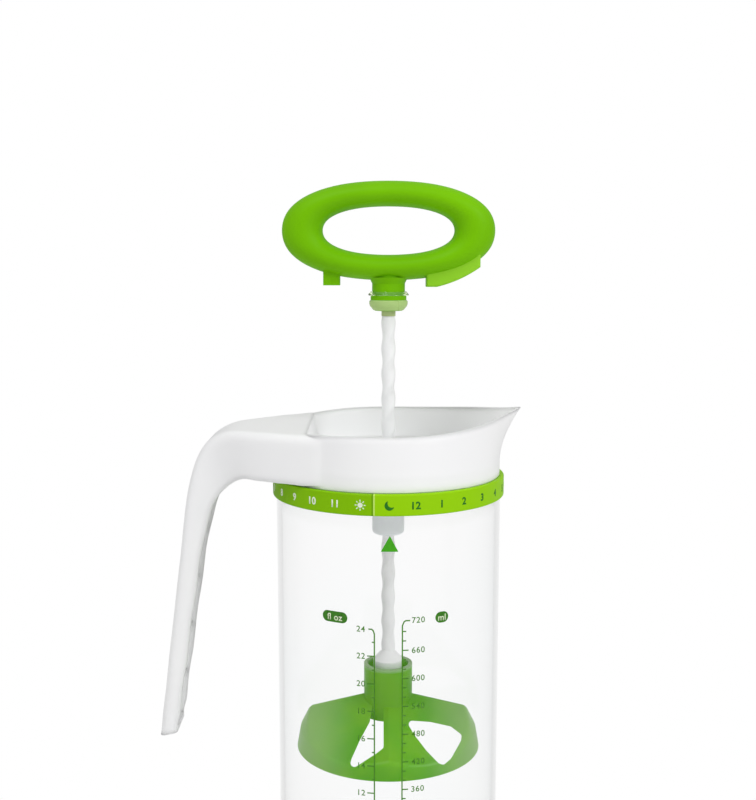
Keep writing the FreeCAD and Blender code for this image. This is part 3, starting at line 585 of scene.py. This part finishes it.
# %% [markdown]
# ## The measuring scale
#
# Two upright lines carry the scale, ounces to the left and millilitres to the right. Each ends at the
# top in a small bend that leads to its highest number. Ounces get a long tick and a number at every
# second one. Millilitres get them at every sixty, with short ticks each twenty. The zero is a little
# above the table, because the jug's floor has a thickness.

# %% Print the scale
jug_foot_radius, jug_shoulder_radius, jug_wall_height = 44.0, 44.3, 172.9
line_width, tick_width = 0.5, 0.45
ounce_zero, ounce_pitch = 3.8, 5.294
millilitre_zero, millilitre_pitch = 4.4, 0.179


def jug_wall(height):
    """The jug's outer radius at a height: the wall leans out a little, so that it leaves its mould."""
    return jug_foot_radius + (jug_shoulder_radius - jug_foot_radius) * height / jug_wall_height


def ounce_height(ounces):
    """The height of an ounce mark: the line of nothing, and so much for each ounce."""
    return ounce_zero + ounce_pitch * ounces


def millilitre_height(millilitres):
    """The height of a millilitre mark."""
    return millilitre_zero + millilitre_pitch * millilitres


ounce_line, millilitre_line = -5.45, 4.85
ounce_digits, millilitre_digits = -8.95, 8.4
digit_height, digit_bold, digit_spacing = 2.3, 0.03, 1.12
# Each bend: how far out from its line and how high each short stroke starts and ends.
ounce_bend = [((0, 128.75), (-0.5, 130.1)), ((-0.4, 130.0), (-1.1, 130.55)),
              ((-0.9, 130.5), (-2.2, 130.5))]
millilitre_bend = [((0, 131.85), (0.6, 133.35)), ((0.5, 133.25), (1.3, 133.8)),
                   ((1.1, 133.75), (2.9, 133.75))]
ounce_top, millilitre_top = 128.9, 132.0
highest = {24: 130.5, 720: 133.9}       # where the number at the end of each bend stands


def bent_line(line, foot, top, bend):
    """An upright line with a bend at its top that is made of short strokes."""
    strokes = [flat_stroke((line, foot - line_width / 2), (line, top), line_width)]
    for start, end in bend:
        strokes.append(flat_stroke((line + start[0], start[1]), (line + end[0], end[1]), line_width))
    return strokes


scale_marks = bent_line(ounce_line, ounce_height(2), ounce_top, ounce_bend)
scale_marks += bent_line(millilitre_line, millilitre_height(60), millilitre_top, millilitre_bend)
for ounces in range(2, 24):
    height = ounce_height(ounces)
    tick = 2.7 if ounces % 2 == 0 else 0.95
    scale_marks.append(flat_stroke((ounce_line - tick, height), (ounce_line, height), tick_width))
for ounces in range(2, 26, 2):
    height = highest.get(ounces, ounce_height(ounces))
    scale_marks.append(flat_text(str(ounces), digit_height, ounce_digits, height, "RIGHT",
                                 digit_bold, digit_spacing))
for millilitres in range(60, 720, 20):
    height = millilitre_height(millilitres)
    tick = 2.3 if millilitres % 60 == 0 else 1.4
    scale_marks.append(flat_stroke((millilitre_line, height), (millilitre_line + tick, height),
                                   tick_width))
for millilitres in range(60, 780, 60):
    height = highest.get(millilitres, millilitre_height(millilitres))
    scale_marks.append(flat_text(str(millilitres), digit_height, millilitre_digits, height, "LEFT",
                                 digit_bold, digit_spacing))
lay_ink("jug_scale_print", scale_marks, jug_wall, "jug", ink_dark)

# %% [markdown]
# ## Badges and pointer
#
# Each scale is headed by a rounded badge with its unit in it. A badge is a bar with a disc on
# each end, and its letters are a thicker film that stands out of it. Above them a triangle points
# at the dial, and says which hour is set.

# %% Print the badges and the pointer
def badge(x, y, width, height):
    """A bar with round ends."""
    reach = (width - height) / 2
    return [flat_stroke((x - reach, y), (x + reach, y), height),
            flat_disc((x - reach, y), height / 2), flat_disc((x + reach, y), height / 2)]


badge_height, badge_level, letter_height = 4.2, 133.9, 2.5
ounce_badge, ounce_badge_width = -20.9, 10.4
millilitre_badge, millilitre_badge_width = 20.2, 5.4
badges = badge(ounce_badge, badge_level, ounce_badge_width, badge_height)
badges += badge(millilitre_badge, badge_level, millilitre_badge_width, badge_height)
lay_ink("jug_unit_badges", badges, jug_wall, "jug", ink_badge)
lay_ink("jug_unit_letters",
        [flat_text("fl oz", letter_height, ounce_badge, badge_level, "CENTER", 0.05, 1.05),
         flat_text("ml", letter_height, millilitre_badge, badge_level, "CENTER", 0.05, 1.05)],
        jug_wall, "jug", ink_pale, film=2 * ink_film)
pointer = flat_shape("pointer", [(-3.1, 159.7), (3.3, 159.7), (0.2, 165.6)])
lay_ink("jug_pointer_print", [pointer], jug_wall, "jug", ink_pointer)

# %% [markdown]
# ## The dial's hours
#
# The dial has twenty-four hours in two halves, and it turns until the hour that the formula was
# made stands over the pointer. Night runs to the right from a moon in dark ink, day runs to the
# left from a sun in white. Each half ends in its own sign again at the back, beside the second
# groove.

# %% Print the hours
dial_low, dial_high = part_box("dial_ring")
dial_outer = (dial_high.x - dial_low.x) / 2 / mm
dial_level = (dial_high.z + dial_low.z) / 2 / mm
hour_step = 12.4            # degrees
hour_height, hour_bold, hour_spacing = 2.75, 0.11, 1.06
day_gap = 0.08              # of a step, between the groove and the day's print
dial_sink = 0.05


def dial_wall(height):
    """The dial's outer radius, the same at every height."""
    return dial_outer


def on_dial(step):
    """How far along the dial's wall a mark stands, counted in hour steps from the front."""
    return math.radians(step * hour_step) * dial_outer


def moon(x, y, radius=1.75):
    """A crescent that opens up and to the right."""
    steps, first_angle, round_angle = 24, 105, 240
    bite = Vector((0.5, 0.5)) * radius
    angles = [math.radians(first_angle + round_angle * i / steps) for i in range(steps + 1)]
    outer = [Vector((math.cos(a), math.sin(a))) * radius for a in angles]
    first, last = outer[0] - bite, outer[-1] - bite
    turn_from = math.atan2(last.y, last.x)
    turn_to = math.atan2(first.y, first.x) - 2 * math.pi
    inner = []
    for i in range(steps + 1):
        a = turn_from + (turn_to - turn_from) * i / steps
        reach = last.length + (first.length - last.length) * i / steps
        inner.append(bite + Vector((math.cos(a), math.sin(a))) * reach)
    return flat_shape("moon", [(x + p.x, y + p.y) for p in outer + inner[1:-1]])


def sun(x, y, radius=0.95, rays=8):
    """A disc with short rays."""
    ray_start, ray_end, ray_width = 1.35, 2.1, 0.38
    marks = [flat_disc((x, y), radius)]
    for ray in range(rays):
        way = Vector((math.cos(2 * math.pi * ray / rays), math.sin(2 * math.pi * ray / rays)))
        near, far = way * radius * ray_start, way * radius * ray_end
        marks.append(flat_stroke((x + near.x, y + near.y), (x + far.x, y + far.y), ray_width))
    return marks


def hour(number, step):
    """An hour's number in bold."""
    return flat_text(str(number), hour_height, on_dial(step), dial_level, "CENTER",
                     hour_bold, hour_spacing)


night_hours = [12] + list(range(1, 12))
night_marks = [moon(on_dial(0), dial_level), moon(on_dial(13), dial_level)]
night_marks += [hour(number, step) for step, number in enumerate(night_hours, 1)]
day_marks = sun(on_dial(-1 - day_gap), dial_level) + sun(on_dial(-14), dial_level)
day_marks += [hour(number, -step - day_gap) for step, number in enumerate(reversed(night_hours), 2)]
lay_ink("dial_night_print", night_marks, dial_wall, "dial_ring", ink_night,
        sink=dial_sink)
lay_ink("dial_day_print", day_marks, dial_wall, "dial_ring", ink_white,
        sink=dial_sink)

# %% [markdown]
# ## Dressing the solids
#
# The solids come from the engineering model as they are, and only their finish is added here. Parts
# that would be moulded from the same plastic wear the same one.

# %% Dress the CAD nodes
finishes = {
    "jug_body": clear_jug, "dial_ring": dial_green, "lid_gasket": clear_silicone,
    "spout_collar": white_lid, "helix_bush": bush_white, "plunger_handle": grip_green,
    "spout_stopper": stopper_green, "neck_seal": clear_silicone, "plug_seal": milky_silicone,
    "pin_retainer": shaft_white, "swivel_pin": pin_pale, "mixing_shaft": shaft_white,
    "mixer": mixer_green,
}
for name, finish in finishes.items():
    slots = nodes[name].data.materials
    slots.clear()
    slots.append(finish)
    print(name, "wears", finish.name)
